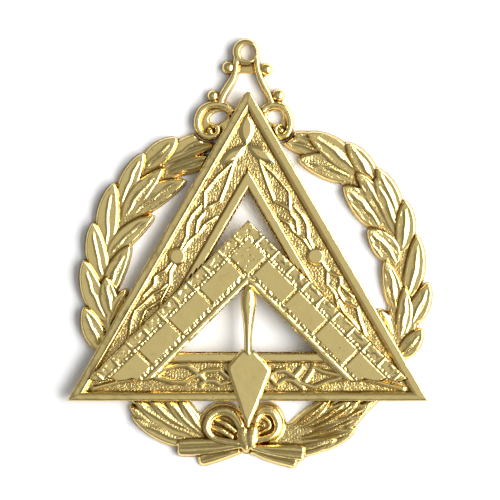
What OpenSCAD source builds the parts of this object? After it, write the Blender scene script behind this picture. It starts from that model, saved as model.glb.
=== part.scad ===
// Collar jewel: a triangle, a square and a trowel laid on a laurel wreath under a scroll hanger.
// Origin at the centre of the hanging hole on the back plane, +Y up the jewel, +Z out of its front.

/* [Hanger] */
// Diameter of the hanging hole
hole_d = 3; // [2:0.1:3.6]
// Width of the metal round the hole
eye_wall = 1.4; // [1:0.1:2]
// Thickness of the eye, the arms and the volutes
hanger_t = 2; // [1.7:0.1:2.6]
// Overall width across the two volutes as a share of the triangle's side
hanger_share = 0.268; // [0.256:0.002:0.3]
// From the hole's centre down to the triangle's apex
neck_h = 7.1; // [6.8:0.1:7.8]
// Width of an arm
arm_w = 1.3; // [1.1:0.1:1.6]
// Width of the band that curls into a volute
volute_band = 1.3; // [1:0.1:1.5]
// Depth of a volute below the triangle's apex as a share of the triangle's side
volute_share = 0.138; // [0.13:0.002:0.144]
// Diameter of the knobs on the arms
knob_d = 2.2; // [1.8:0.1:2.6]
// Thickness of the foot under the triangle's apex and of the web below the eye
web_t = 1.1; // [0.8:0.1:1.2]

/* [Triangle] */
// Length of the triangle's side
tri_side = 72.4; // [69:0.2:75]
// How far the apex is cut back
apex_cut = 0.9; // [0:0.1:1.2]
// Height of the triangle's back above the floor
seat_h = 1.4; // [1.3:0.1:1.8]
// Thickness of the ground between the rims
ground_t = 0.9; // [0.7:0.1:1.2]
// Height of the rims above the ground
rim_h = 0.9; // [0.7:0.1:1.2]
// Width of each bar of the triangle
bar_w = 10.3; // [9.8:0.1:11]
// Width of the outer rim on the two sides
rim_side_w = 1.8; // [1.4:0.1:2.2]
// Width of the outer rim along the base
rim_base_w = 1.7; // [1.2:0.1:2.2]
// Width of the inner rim
inner_rim_w = 2; // [1.6:0.1:2.4]
// Height of the strapwork above the ground
strap_h = 0.5; // [0.3:0.05:0.65]
// Width of a strap
strap_w = 1; // [0.7:0.1:1.2]
// Distance between two crossings of the straps on a side
side_pitch = 11; // [10:0.2:12]
// Distance between two crossings of the straps on the base
base_pitch = 6.8; // [6:0.2:7.4]
// Diameter of the disc on each side
disc_d = 3.6; // [3:0.1:4]
// From the apex along a side to the first crossing of the straps
first_crossing = 25.2; // [24.4:0.2:26.2]
// From the middle of the base to the first crossing of its straps
base_first = 3.4; // [3:0.1:4]
// From the apex down to the point where the three petals meet
petal_drop = 11.5; // [11:0.1:11.9]
// Length of a petal
petal_l = 5.2; // [4.6:0.1:5.6]
// Width of a petal
petal_w = 2.4; // [1.8:0.1:2.6]

/* [Square] */
// From the triangle's apex down to the square's outer corner
square_drop = 26.5; // [25.7:0.1:27.3]
// Width of an arm of the square
square_w = 9; // [8.4:0.1:9.6]
// Thickness of the square's plate
square_t = 1.3; // [1:0.1:1.6]
// From the triangle's base edge up to the feet of the square
square_foot = 3.9; // [3.4:0.1:4.4]
// Height of the bricks above the plate
brick_h = 0.55; // [0.3:0.05:0.7]
// Length of a brick in the main course with its joint
brick_pitch = 8.55; // [8:0.05:9]
// Width of the main course of bricks
brick_w = 3.7; // [3.2:0.1:3.9]
// Width of the outer course of bricks
outer_brick_w = 1.8; // [1.5:0.1:1.9]
// Gap between two bricks
joint_w = 1.1; // [0.8:0.1:1.4]
// Width of a row of beads
bead_w = 0.7; // [0.5:0.05:0.8]
// Distance between two beads
bead_pitch = 1.06; // [1:0.02:1.2]
// Plain edge outside the outer course
edge_w = 0.35; // [0.2:0.05:0.5]
// Gap between a course of bricks and the beads beside it
course_gap = 0.15; // [0.1:0.05:0.2]
// Width of the raised lip along the inner edge
lip_w = 0.6; // [0.4:0.05:0.7]
// From the square's corner along an arm to the first brick of the main course
brick_start = 8.6; // [8.2:0.1:9.2]

/* [Trowel] */
// Length of the trowel's blade
blade_l = 16.1; // [15:0.1:17]
// Width of the blade
blade_w = 8.7; // [7.6:0.1:9.6]
// Thickness of the blade
blade_t = 1.1; // [0.8:0.1:1.4]
// Width of the bevel round the blade's face
blade_bevel = 0.7; // [0.4:0.1:0.9]
// How far the blade's tip reaches below the triangle's base
tip_drop = 5; // [4:0.1:5.4]
// Width of the handle where it is widest
handle_w = 2.9; // [2.4:0.1:3.2]
// Gap between the handle's end and the square's inner corner
handle_gap = 0.6; // [0.5:0.05:0.8]

/* [Wreath] */
// Radius of the wreath, the size that its leaves are laid out by, as a share of the triangle's side
wreath_share = 0.478; // [0.464:0.002:0.492]
// Height of the wreath's centre above the triangle's base edge as a share of the triangle's side
centre_share = 0.309; // [0.298:0.001:0.32]
// Distance of the wreath's centre to the right of the hanging hole
wreath_offset = 0.6; // [0:0.1:1]
// Full width of a common leaf
leaf_w = 3.6; // [3.2:0.1:4]
// Height of a leaf at its raised tip
leaf_h = 2.5; // [2.2:0.1:2.8]
// Width of the stem under the leaves
stem_w = 6.6; // [6:0.2:7.4]
// Thickness of the stem
stem_t = 1.2; // [1:0.1:1.2]

/* [Bow] */
// Width across the ends of the ribbon
bow_w = 26.4; // [24:0.2:28]
// From the triangle's base edge down to the middle of the knot
bow_drop = 7.6; // [7.2:0.1:8]
// Height of the knot
knot_h = 6; // [5:0.2:6.6]
// Thickness of the knot
knot_t = 3; // [2.4:0.1:3.1]
// Width of the ribbon in the loops
ribbon_w = 1.9; // [1.5:0.1:2.2]

/* [Fit] */
// Gap left all round where one piece seats on another
fit_gap = 0.05; // [0.02:0.01:0.1]

/* [Hidden] */

// The cutters reach past what they cut by this much
over = 1;
tri_h = tri_side * sqrt(3) / 2;
apex_y = -neck_h;
base_y = apex_y - tri_h;
ground_z = seat_h + ground_t;
rim_z = ground_z + rim_h;
square_y = apex_y - square_drop;
inner_corner_y = square_y - square_w * sqrt(2);
trowel_z = rim_z + fit_gap;
hanger_w = hanger_share * tri_side;
volute_h = volute_share * tri_side;
wreath_r = wreath_share * tri_side;
wreath_c = [wreath_offset, base_y + centre_share * tri_side];
bow_c = [0, base_y - bow_drop];
eye_r = hole_d / 2 + eye_wall;

function polar(a, r) = [r * cos(a), r * sin(a)];
function mix(a, b, t) = a + (b - a) * t;
function unit(v) = v / norm(v);
function left_of(v) = [-v[1], v[0]];
function heading(path, i) = unit(path[min(i + 1, len(path) - 1)] - path[max(i - 1, 0)]);

// The outline of a band of half widths w along a path
function band(path, w) = concat(
    [for (i = [0 : len(path) - 1]) path[i] + w[i] * left_of(heading(path, i))],
    [for (i = [len(path) - 1 : -1 : 0]) path[i] - w[i] * left_of(heading(path, i))]);

// The triangle drawn in by an amount all round, with its apex cut back
module triangle_outline(inset) {
    difference() {
        polygon(inset_triangle(inset, inset));
        translate([-tri_side / 2, apex_y - apex_cut - inset]) square([tri_side, tri_side]);
    }
}

// Corners of the triangle drawn in by ds on its two sides and by db on its base
function inset_hw(ds, db) = (tri_h - 2 * ds - db) * tan(30);
function inset_triangle(ds, db) = [
    [0, apex_y - 2 * ds],
    [inset_hw(ds, db), base_y + db],
    [-inset_hw(ds, db), base_y + db]];

// A leaf's cross-section: place across the leaf as a share of its half width, height as a share of its ridge
LEAF_SECTION = [[-1, 0.66], [-0.6, 0.86], [-0.22, 0.74], [0, 1], [0.22, 0.74], [0.6, 0.86], [1, 0.66]];
RIBBON_SECTION = [[-1, 0.8], [-0.7, 1], [0.7, 1], [1, 0.8]];

// A solid on the floor along a path: w half widths, h ridge heights, section as above
module ridge(path, w, h, section) {
    m = len(section) + 2;
    n = len(path);
    across = concat([[-1, 0]], section, [[1, 0]]);
    points = [for (i = [0 : n - 1], s = across)
        let (p = path[i] - s[0] * w[i] * left_of(heading(path, i)))
        [p[0], p[1], s[1] * h[i]]];
    sides = [for (i = [0 : n - 2], j = [0 : m - 1])
        let (a = i * m + j, b = i * m + (j + 1) % m)
        each [[a, a + m, b], [b, a + m, b + m]]];
    ends = [[for (j = [0 : m - 1]) j], [for (j = [m - 1 : -1 : 0]) (n - 1) * m + j]];
    polyhedron(points = points, faces = concat(sides, ends), convexity = 6);
}

// Hanger

// Right arm's centre line: x as a share of half the hanger's width, y as a share of the neck
ARM_PATH = [[0.17, -0.23], [0.21, -0.52], [0.28, -0.77], [0.37, -0.99], [0.47, -1.21], [0.6, -1.57]];
// Knobs on the right arm: row of ARM_PATH that each sits beside
KNOB_ROWS = [1, 4];
volute_turn = 395;
volute_from = 165;
volute_steps = 30;

function arm_path() = [for (p = ARM_PATH) [p[0] * hanger_w / 2, p[1] * neck_h]];
volute_r = (hanger_w / 2 - volute_band / 2) * 0.38;
volute_start = [0.63 * hanger_w / 2, apex_y - 0.66 * volute_h];
curl_c = [0.74 * hanger_w / 2, apex_y - 0.86 * volute_h];
curl_r = 0.95 * volute_band / 1.3;

function volute_path() = [for (i = [0 : volute_steps])
    let (t = i / volute_steps)
    mix(volute_start, curl_c, t) + polar(volute_from - volute_turn * t, mix(volute_r, curl_r, t))];

module eye_outline() {
    circle(r = eye_r, $fn = 64);
}

module arm_outline() {
    polygon(band(arm_path(), [for (p = ARM_PATH) arm_w / 2]));
}

module volute_outline() {
    path = volute_path();
    polygon(band(path, [for (i = [0 : len(path) - 1]) volute_band / 2 * mix(1, 0.8, i / volute_steps)]));
    translate(curl_c) circle(r = curl_r, $fn = 32);
}

module knob_places() {
    path = arm_path();
    for (row = KNOB_ROWS)
        translate(path[row] + [arm_w / 2 + knob_d * 0.4, 0.1 * knob_d]) children();
}

// The foot under the apex, wider than the triangle by half a band so that it carries the volutes
module foot_outline() {
    lip = volute_band / 2;
    foot_h = volute_h - volute_band;
    intersection() {
        polygon(inset_triangle(-lip, 0));
        translate([-hanger_w / 2, apex_y - foot_h]) square([hanger_w, foot_h]);
    }
}

module web_outline() {
    web_h = neck_h * 0.58;
    translate([-arm_w * 1.5, -web_h]) square([arm_w * 3, web_h]);
}

module hanger_outline() {
    eye_outline();
    foot_outline();
    web_outline();
    for (side = [0, 1])
        mirror([side, 0]) {
            arm_outline();
            volute_outline();
            knob_places() circle(d = knob_d, $fn = 32);
        }
}

module triangle_clearance() {
    translate([0, 0, seat_h - fit_gap])
        linear_extrude(height = rim_z) triangle_outline(-fit_gap);
}

module knob() {
    r = knob_d / 2;
    cylinder(r = r, h = hanger_t - 0.9 * r, $fn = 32);
    translate([0, 0, hanger_t - 0.9 * r]) sphere(r = 0.9 * r, $fn = 32);
}

module hanger() {
    color("goldenrod")
    difference() {
        union() {
            cylinder(r = eye_r, h = hanger_t, $fn = 64);
            linear_extrude(height = web_t) foot_outline();
            linear_extrude(height = web_t) web_outline();
            for (side = [0, 1])
                mirror([side, 0, 0]) {
                    linear_extrude(height = hanger_t) arm_outline();
                    linear_extrude(height = hanger_t) volute_outline();
                    translate([curl_c[0], curl_c[1], hanger_t * 0.8]) sphere(r = curl_r * 0.85, $fn = 32);
                    knob_places() knob();
                }
        }
        translate([0, 0, -over]) cylinder(d = hole_d, h = hanger_t + 2 * over, $fn = 64);
        triangle_clearance();
    }
}

// Wreath

// A row for each leaf: angle and radius of its tip, angle and radius of its base, width, height.
// Angles in degrees about the wreath's centre, radii as shares of wreath_r, the rest of leaf_w and leaf_h.
LEFT_LEAVES = [
    [116, 0.97, 132, 0.93, 1.05, 1],
    [128, 1.00, 148, 0.89, 0.95, 1],
    [142, 1.00, 165, 0.86, 1.1, 1],
    [157, 0.99, 177, 0.85, 1.05, 1],
    [170, 0.98, 193, 0.85, 1.1, 1],
    [186, 0.97, 203, 0.92, 1.05, 1],
    [126, 0.86, 152, 0.84, 0.95, 0.95],
    [175, 0.84, 193, 0.81, 0.95, 0.95],
    [121, 0.73, 150, 0.82, 1.1, 0.9],
    [143, 0.70, 164, 0.79, 0.95, 0.9],
    [160, 0.74, 179, 0.78, 0.9, 0.9],
    [180, 0.72, 191, 0.81, 0.65, 0.8],
    [103, 0.91, 125, 0.88, 1.1, 0.8],
    [102, 0.82, 126, 0.86, 0.9, 0.9],
    [105, 0.75, 131, 0.82, 0.8, 0.8],
    [236, 0.73, 253, 0.89, 0.75, 0.95],
    [231, 0.80, 250, 0.88, 0.7, 0.9],
    [226, 0.86, 249, 0.89, 0.8, 0.95],
    [223, 0.96, 247, 0.91, 0.85, 0.9],
    [227, 1.01, 252, 0.92, 0.95, 1],
    [233, 1.02, 249, 0.94, 0.75, 0.8]];
RIGHT_LEAVES = [
    [70, 0.96, 47, 0.91, 1.2, 1],
    [57, 1.01, 40, 0.94, 0.95, 1],
    [44, 1.01, 25, 0.94, 0.95, 1],
    [30, 1.03, 14, 0.90, 1, 1],
    [18, 1.01, -4, 0.90, 1, 1],
    [2, 1.03, -13, 0.94, 0.95, 1],
    [-13, 1.02, -25, 0.94, 0.9, 0.95],
    [78, 0.87, 59, 0.90, 0.9, 0.9],
    [70, 0.80, 47, 0.87, 1.2, 0.9],
    [48, 0.80, 25, 0.83, 1.25, 0.9],
    [48, 0.91, 24, 0.88, 0.95, 0.95],
    [27, 0.76, 10, 0.86, 1.2, 0.9],
    [12, 0.79, -9, 0.85, 0.9, 0.9],
    [-9, 0.75, -18, 0.87, 0.65, 0.8],
    [1, 0.89, -19, 0.91, 0.8, 0.95],
    [75, 0.93, 60, 0.93, 0.75, 0.8],
    [42, 0.96, 20, 0.90, 0.9, 0.9],
    [-53, 0.74, -74, 0.86, 0.9, 0.95],
    [-48, 0.84, -70, 0.86, 0.85, 0.9],
    [-43, 0.97, -64, 0.90, 0.9, 0.95],
    [-49, 0.97, -66, 0.90, 0.85, 0.9],
    [-52, 1.01, -74, 0.89, 0.85, 1],
    [-56, 1.03, -73, 0.95, 0.75, 0.8]];
// Along a leaf from base to tip: place, half width as a share, ridge height as a share
LEAF_STATIONS = [
    [0, 0.45, 0.5],
    [0.22, 0.85, 0.66],
    [0.45, 1, 0.8],
    [0.7, 0.82, 0.93],
    [0.88, 0.45, 1],
    [1, 0.08, 0.95]];
// Angles between which each stem runs, from the hanger to the bow, and its radius as a share of wreath_r
LEFT_STEM = [113, 258, 0.86];
RIGHT_STEM = [66, -78, 0.89];
stem_steps = 14;

function leaf_point(row, t) = wreath_c + polar(mix(row[2], row[0], t), wreath_r * mix(row[3], row[1], t));

module leaf(row) {
    ridge(
        [for (s = LEAF_STATIONS) leaf_point(row, s[0])],
        [for (s = LEAF_STATIONS) s[1] * row[4] * leaf_w / 2],
        [for (s = LEAF_STATIONS) s[2] * row[5] * leaf_h],
        LEAF_SECTION);
}

module stem(ends) {
    places = [for (i = [0 : stem_steps])
        wreath_c + polar(mix(ends[0], ends[1], i / stem_steps), wreath_r * ends[2])];
    for (i = [1 : stem_steps])
        hull() {
            translate(places[i - 1]) cylinder(d = stem_w, h = stem_t, $fn = 12);
            translate(places[i]) cylinder(d = stem_w, h = stem_t, $fn = 12);
        }
}

// The ribbon's ends, right side: x as a share of half the bow's width, y as a share of the knot's height
// from its middle, half width as a share of the ribbon, height as a share of the knot's thickness
UPPER_TAIL = [[0.05, -0.25, 0.5, 0.6], [0.4, -0.33, 0.65, 0.7], [0.7, -0.36, 0.7, 0.72], [0.98, -0.32, 0.8, 0.75]];
LOWER_TAIL = [[0.05, -0.45, 0.35, 0.45], [0.4, -0.65, 0.45, 0.5], [0.78, -0.77, 0.5, 0.55]];
// Middle and half size of a loop, in shares of half the bow's width and of the knot's height
LOOP_MIDDLE = [0.37, 0.53];
LOOP_SIZE = [0.28, 0.45];
loop_steps = 20;
loop_open = 12;

function bow_point(p) = bow_c + [p[0] * bow_w / 2, p[1] * knot_h];

module tail(rows) {
    ridge(
        [for (r = rows) bow_point(r)],
        [for (r = rows) r[2] * ribbon_w],
        [for (r = rows) r[3] * knot_t],
        RIBBON_SECTION);
}

// One loop of the ribbon, open by a little at the knot, over a plain back
module loop() {
    turn = [for (i = [0 : loop_steps]) mix(180 + loop_open, 540 - loop_open, i / loop_steps)];
    path = [for (a = turn)
        bow_point(LOOP_MIDDLE + [LOOP_SIZE[0] * cos(a), LOOP_SIZE[1] * sin(a)])];
    ridge(path, [for (a = turn) ribbon_w / 2], [for (a = turn) knot_t * 0.85], RIBBON_SECTION);
    translate(bow_point(LOOP_MIDDLE))
        scale([LOOP_SIZE[0] * bow_w / 2, LOOP_SIZE[1] * knot_h, 1])
            cylinder(r = 1, h = stem_t, $fn = 24);
}

module bow() {
    for (side = [0, 1])
        mirror([side, 0, 0]) {
            loop();
            tail(UPPER_TAIL);
            tail(LOWER_TAIL);
        }
    ridge(
        [for (t = [-0.5, -0.25, 0, 0.25, 0.5]) bow_c + [0, t * knot_h]],
        [for (share = [1, 0.85, 0.75, 0.85, 1]) share * ribbon_w],
        [for (share = [0.75, 0.95, 1, 0.95, 0.8]) share * knot_t],
        LEAF_SECTION);
}

module wreath() {
    color("darkgoldenrod")
    difference() {
        union() {
            stem(LEFT_STEM);
            stem(RIGHT_STEM);
            for (row = LEFT_LEAVES) leaf(row);
            for (row = RIGHT_LEAVES) leaf(row);
            bow();
        }
        triangle_clearance();
        translate([0, 0, -over]) linear_extrude(height = leaf_h + 2 * over) offset(delta = fit_gap) hanger_outline();
    }
}

// Triangle

ground_mid = mix(rim_side_w, bar_w - inner_rim_w, 0.5);
strap_swing = (bar_w - inner_rim_w - rim_side_w) / 2 - strap_w;
base_ground_mid = mix(rim_base_w, bar_w - inner_rim_w, 0.5);
base_swing = (bar_w - inner_rim_w - rim_base_w) / 2 - strap_w;
// Crossings of the straps after the first one
side_crossings = 3;
base_crossings = 3;
strap_steps = 12;
// The drop at the head of each side's straps: place as a share of first_crossing, share of the ground across
DROP = [[0.53, 0.48], [0.88, 0.1], [1, 0.42], [0.91, 0.8]];

// Two straps that swing past each other and cross at every pitch
module straps(start, pitch, count, middle, swing) {
    n = count * strap_steps;
    for (hand = [-1, 1]) {
        path = [for (i = [0 : n])
            let (t = i / strap_steps)
            [start + t * pitch, middle + hand * swing * sin(180 * t)]];
        polygon(band(path, [for (p = path) strap_w / 2]));
    }
}

// Lens between two circles, its tips on the X axis
module lens(length, width) {
    r = (length * length / 4 + width * width / 4) / width;
    intersection() {
        translate([length / 2, r - width / 2]) circle(r = r, $fn = 96);
        translate([length / 2, width / 2 - r]) circle(r = r, $fn = 96);
    }
}

module side_ornament() {
    straps(first_crossing, side_pitch, side_crossings, ground_mid, strap_swing);
    translate([first_crossing + side_pitch, ground_mid]) circle(d = disc_d, $fn = 48);
    polygon([for (p = DROP) [p[0] * first_crossing, mix(rim_side_w, bar_w - inner_rim_w, p[1])]]);
    for (i = [0 : side_crossings - 1])
        translate([first_crossing + (i + 0.5) * side_pitch - strap_w, ground_mid]) lens(2 * strap_w, strap_w);
}

module ornament() {
    for (side = [0, 1])
        mirror([side, 0]) {
            translate([0, apex_y]) rotate(240) side_ornament();
            translate([0, base_y]) straps(base_first, base_pitch, base_crossings, base_ground_mid, base_swing);
        }
    for (turn = [90, 215, 325])
        translate([0, apex_y - petal_drop]) rotate(turn) translate([-petal_w / 8, 0]) lens(petal_l, petal_w);
}

module ring_2d(ds, db, width) {
    difference() {
        polygon(inset_triangle(ds, db));
        polygon(inset_triangle(ds + width, db + width));
    }
}

module triangle() {
    color("gold")
    difference() {
        union() {
            translate([0, 0, seat_h])
                linear_extrude(height = ground_t)
                    difference() {
                        triangle_outline(0);
                        polygon(inset_triangle(bar_w, bar_w));
                    }
            translate([0, 0, seat_h])
                linear_extrude(height = ground_t + rim_h)
                    difference() {
                        triangle_outline(0);
                        polygon(inset_triangle(rim_side_w, rim_base_w));
                    }
            translate([0, 0, seat_h])
                linear_extrude(height = ground_t + rim_h)
                    ring_2d(bar_w - inner_rim_w, bar_w - inner_rim_w, inner_rim_w);
            translate([0, 0, seat_h]) linear_extrude(height = ground_t + strap_h) ornament();
        }
        translate([0, 0, ground_z]) linear_extrude(height = rim_h + over) square_outline(-fit_gap);
    }
}

// Square

foot_lobes = 3;
lobe_drop = 0.7;

// The square's outline in plan, drawn in by an amount all round, each foot ending in round lobes
module square_outline(inset) {
    corner = square_y - inset * sqrt(2);
    inner = inner_corner_y + inset * sqrt(2);
    outer_x = corner - base_y;
    inner_x = inner - base_y;
    cut = square_foot + lobe_drop + inset;
    lobe_w = (outer_x - inner_x) / foot_lobes;
    intersection() {
        polygon([[0, corner], [outer_x, base_y], [inner_x, base_y], [0, inner], [-inner_x, base_y], [-outer_x, base_y]]);
        polygon(inset_triangle(rim_side_w + 2 * fit_gap + inset, square_foot + inset));
        union() {
            translate([-tri_side / 2, base_y + cut]) square([tri_side, tri_h]);
            for (side = [-1, 1], i = [0 : foot_lobes - 1])
                translate([side * (inner_x - cut + (i + 0.5) * lobe_w), base_y + cut + lobe_w / 2 - lobe_drop])
                    circle(d = lobe_w, $fn = 32);
        }
    }
}

// One arm's courses in its own plan: X along the arm from the corner, Y across it from the outer edge
module courses() {
    length = (square_y - base_y) * sqrt(2);
    bead_y = edge_w + outer_brick_w + course_gap + bead_w / 2;
    brick_y = bead_y + bead_w / 2 + course_gap;
    dentil_y = brick_y + brick_w + course_gap;
    count = floor((length - brick_start) / brick_pitch);
    for (i = [0 : count])
        translate([brick_start + joint_w / 2 + i * brick_pitch, brick_y]) square([brick_pitch - joint_w, brick_w]);
    for (i = [-1 : 2 * count])
        translate([brick_start + joint_w / 2 + i * brick_pitch / 2, edge_w])
            square([brick_pitch / 2 - joint_w, outer_brick_w]);
    for (i = [0 : floor((length - brick_y) / bead_pitch)])
        translate([brick_y + i * bead_pitch, bead_y]) circle(d = bead_w, $fn = 16);
    for (i = [0 : floor((length - dentil_y) / bead_pitch)])
        translate([dentil_y + (i + 1) * bead_pitch, dentil_y]) square([bead_w, bead_w]);
    translate([square_w, square_w - lip_w]) square([length, lip_w]);
    translate([brick_y, brick_y]) square([brick_w, brick_w]);
}

module square_arm(side) {
    mirror([side, 0]) translate([0, square_y]) rotate(225) courses();
}

module masons_square() {
    square_z = ground_z + fit_gap;
    color("khaki") {
        translate([0, 0, square_z]) linear_extrude(height = square_t) square_outline(0);
        translate([0, 0, square_z]) linear_extrude(height = square_t + brick_h)
            intersection() {
                square_outline(fit_gap);
                union() {
                    square_arm(0);
                    square_arm(1);
                }
            }
    }
}

// Trowel

tip_y = base_y - tip_drop;
blade_top_y = tip_y + blade_l;
shoulder_share = 0.28;
blade_edge = 0.4;
// The handle from its end down to the blade: place along it, radius as a share of its half width
HANDLE = [[0, 0.28], [0.1, 0.85], [0.2, 1], [0.4, 0.86], [0.6, 0.66], [0.8, 0.52], [1, 0.45]];

function kite(inset) = [
    [0, blade_top_y - inset * 1.2],
    [blade_w / 2 - inset, blade_top_y - blade_l * shoulder_share],
    [0, tip_y + inset * 3],
    [inset - blade_w / 2, blade_top_y - blade_l * shoulder_share]];

module blade() {
    function level(points, z) = [for (p = points) [p[0], p[1], z]];
    ring = [0, 1, 2, 3];
    polyhedron(
        points = concat(level(kite(0), 0), level(kite(0), blade_t * blade_edge), level(kite(blade_bevel), blade_t)),
        faces = concat(
            [[3, 2, 1, 0], [8, 9, 10, 11]],
            [for (i = ring, row = [0, 4]) each
                let (a = row + i, b = row + (i + 1) % 4)
                [[b, a + 4, a], [b + 4, a + 4, b]]]));
}

module handle() {
    from = inner_corner_y - handle_gap;
    length = from - blade_top_y + blade_l * 0.08;
    r = handle_w / 2;
    difference() {
        translate([0, from, 0]) rotate([90, 0, 0])
            rotate_extrude($fn = 48)
                polygon(concat([[0, 0]], [for (s = HANDLE) [s[1] * r, s[0] * length]], [[0, length]]));
        translate([-handle_w, from - length - over, -handle_w]) cube([2 * handle_w, length + 2 * over, handle_w]);
    }
}

module trowel() {
    color("palegoldenrod") translate([0, 0, trowel_z]) {
        blade();
        handle();
    }
}

hanger();
wreath();
triangle();
masons_square();
trowel();
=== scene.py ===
from collections import namedtuple
from math import cos, pi, radians, sin, sqrt

import bmesh
import bpy
import numpy as np
from bpy.props import FloatProperty, FloatVectorProperty, PointerProperty
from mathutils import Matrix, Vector


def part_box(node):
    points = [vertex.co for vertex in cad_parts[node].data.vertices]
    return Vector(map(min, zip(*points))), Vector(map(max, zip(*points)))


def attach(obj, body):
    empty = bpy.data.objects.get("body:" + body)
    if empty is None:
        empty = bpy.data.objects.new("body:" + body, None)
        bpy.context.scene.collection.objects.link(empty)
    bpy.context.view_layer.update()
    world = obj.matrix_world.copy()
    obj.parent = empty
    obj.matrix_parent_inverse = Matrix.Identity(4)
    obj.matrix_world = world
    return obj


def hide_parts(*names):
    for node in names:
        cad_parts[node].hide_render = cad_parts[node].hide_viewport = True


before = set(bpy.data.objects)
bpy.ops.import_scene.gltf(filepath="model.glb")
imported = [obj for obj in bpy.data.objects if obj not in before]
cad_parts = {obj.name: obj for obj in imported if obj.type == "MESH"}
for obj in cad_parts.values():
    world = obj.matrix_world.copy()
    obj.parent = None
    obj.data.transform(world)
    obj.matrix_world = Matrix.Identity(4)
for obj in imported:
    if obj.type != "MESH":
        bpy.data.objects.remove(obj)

bl_info = {
    "name": "Gilt collar jewel",
    "version": (1, 0, 0),
    "blender": (4, 5, 0),
    "location": "3D View > Sidebar > Jewel",
    "description": "A triangle, a square and a trowel on a laurel wreath, under a scroll hanger",
    "category": "Add Mesh",
}

MM = 0.001


def corners(node):
    """The lowest and highest corner of a piece of the frame, in millimetres."""
    low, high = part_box(node)
    return np.array(low) / MM, np.array(high) / MM


TRIANGLE_LOW, TRIANGLE_HIGH = corners("triangle")
SQUARE_LOW, SQUARE_HIGH = corners("masons_square")
BASE_Y = TRIANGLE_LOW[1]
APEX_Y = BASE_Y + TRIANGLE_HIGH[0] * sqrt(3)
TRIANGLE = np.array([[0, APEX_Y], [-TRIANGLE_HIGH[0], BASE_Y], [TRIANGLE_HIGH[0], BASE_Y]])
SEAT_Z = TRIANGLE_LOW[2]
RIM_Z = TRIANGLE_HIGH[2]
SQUARE_Y = SQUARE_HIGH[1]
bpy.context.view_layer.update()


def length(name, description, default):
    """A size in metres, given here in millimetres."""
    return FloatProperty(
        name=name, description=description, default=default * MM, min=0, precision=5,
        unit="LENGTH", subtype="DISTANCE",
    )


def colour(name, description, default):
    return FloatVectorProperty(
        name=name, description=description, default=default, size=3, min=0, max=1, subtype="COLOR",
    )


class JewelSizes(bpy.types.PropertyGroup):
    hole: length("Hanging hole", "Diameter of the hanging hole", 3)
    eye: length("Eye", "Outer diameter of the eye", 5.3)
    scroll: length("Scroll height", "Height of the eye, the arms and the volutes", 2)
    web: length("Web", "Height of the thin web between the scrolls", 0.95)
    bar: length("Bar", "Width of each bar of the triangle", 10.3)
    apex_cut: length("Apex cut", "How far the triangle's apex is rounded back", 0.9)
    side_rim: length("Side rim", "Width of the outer rim along the two sides", 1.65)
    base_rim: length("Base rim", "Width of the outer rim along the base", 1.6)
    bevel: length("Bevel", "Width of the bevel from a rim down to the ground", 0.8)
    strap: length("Strap", "Width of a strap of the ornament", 1.25)
    arm: length("Square's arm", "Width of an arm of the square", 9)
    joint: length("Joint", "Width of the joint between two bricks", 0.35)
    bead: length("Bead pitch", "Distance between two dentils on the square", 1.06)
    blade_bevel: length("Blade bevel", "Width of the bevel round the trowel's blade", 0.55)
    leaf: length("Leaf", "Full width of a common leaf", 4.2)
    leaf_tip: length("Leaf tip", "Height of a leaf at its tip", 2.4)
    wreath: length("Wreath radius", "Radius that the leaves are laid out by", 34.6)
    ribbon: length("Ribbon", "Width of the ribbon in the bow's loops", 2)


class JewelColours(bpy.types.PropertyGroup):
    gilt: colour("Gilt", "Colour of the polished gilding", (0.90, 0.715, 0.29))
    # Painted reflection: this orange is painted into hollows and onto walls for the light that the gilt
    # throws back onto itself. It also tints the gilding at random as a real deeper tone.
    deep_tone_and_reflection: colour("Deep gilt", "Colour of the gilding in the hollows", (0.80, 0.52, 0.15))
    # Painted shade: this colour is painted into the narrowest hollows and thin grooves where shade falls, and
    # partly stands for tarnished metal there. It also darkens the pits and the stippled grain.
    shade_and_tarnish_tint: colour("Tarnish", "Colour of the tarnish in the narrowest hollows", (0.26, 0.155, 0.045))
    floor: colour("Floor", "Colour of the paper under the jewel", (0.93, 0.93, 0.93))


# Plane curves


def mix(a, b, t):
    return a + (b - a) * t


def polar(degrees, radius):
    """Points at an angle and a radius, as rows of x and y."""
    turn = np.radians(degrees)
    return np.stack([radius * np.cos(turn), radius * np.sin(turn)], -1)


def step(low, high, value):
    """Rises smoothly from 0 at low to 1 at high: three squares less two cubes of the share between."""
    t = np.clip((value - low) / (high - low), 0, 1)
    return t * t * (3 - 2 * t)


def curve(points, count=40):
    """A smooth path through the points: on each stretch a cubic whose end slopes are half of the step
    between the neighbours."""
    p = np.array(points, float)
    p = np.vstack([2 * p[0] - p[1], p, 2 * p[-1] - p[-2]])
    t = np.linspace(0, len(p) - 3, count)
    i = np.minimum(t.astype(int), len(p) - 4)
    t = (t - i)[:, None]
    a, b, c, d = p[i], p[i + 1], p[i + 2], p[i + 3]
    return 0.5 * (2 * b + (c - a) * t + (2 * a - 5 * b + 4 * c - d) * t**2 + (3 * b - a - 3 * c + d) * t**3)


def along(x, y, path):
    """For each point, the share of the path's length at its nearest place on it, and its distance from it,
    positive on the left."""
    steps = np.diff(path, axis=0)
    lengths = np.hypot(steps[:, 0], steps[:, 1])
    starts = np.concatenate([[0], np.cumsum(lengths)])
    best = np.full(np.shape(x), np.inf)
    share, side = np.zeros((2, *np.shape(x)))
    for a, d, size, start in zip(path, steps, lengths, starts):
        dx, dy = x - a[0], y - a[1]
        t = np.clip((dx * d[0] + dy * d[1]) / size**2, 0, 1)
        gap = np.hypot(dx - t * d[0], dy - t * d[1])
        near = gap < best
        best = np.where(near, gap, best)
        share = np.where(near, (start + t * size) / starts[-1], share)
        side = np.where(near, np.sign(d[0] * dy - d[1] * dx) * gap, side)
    return share, side


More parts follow.
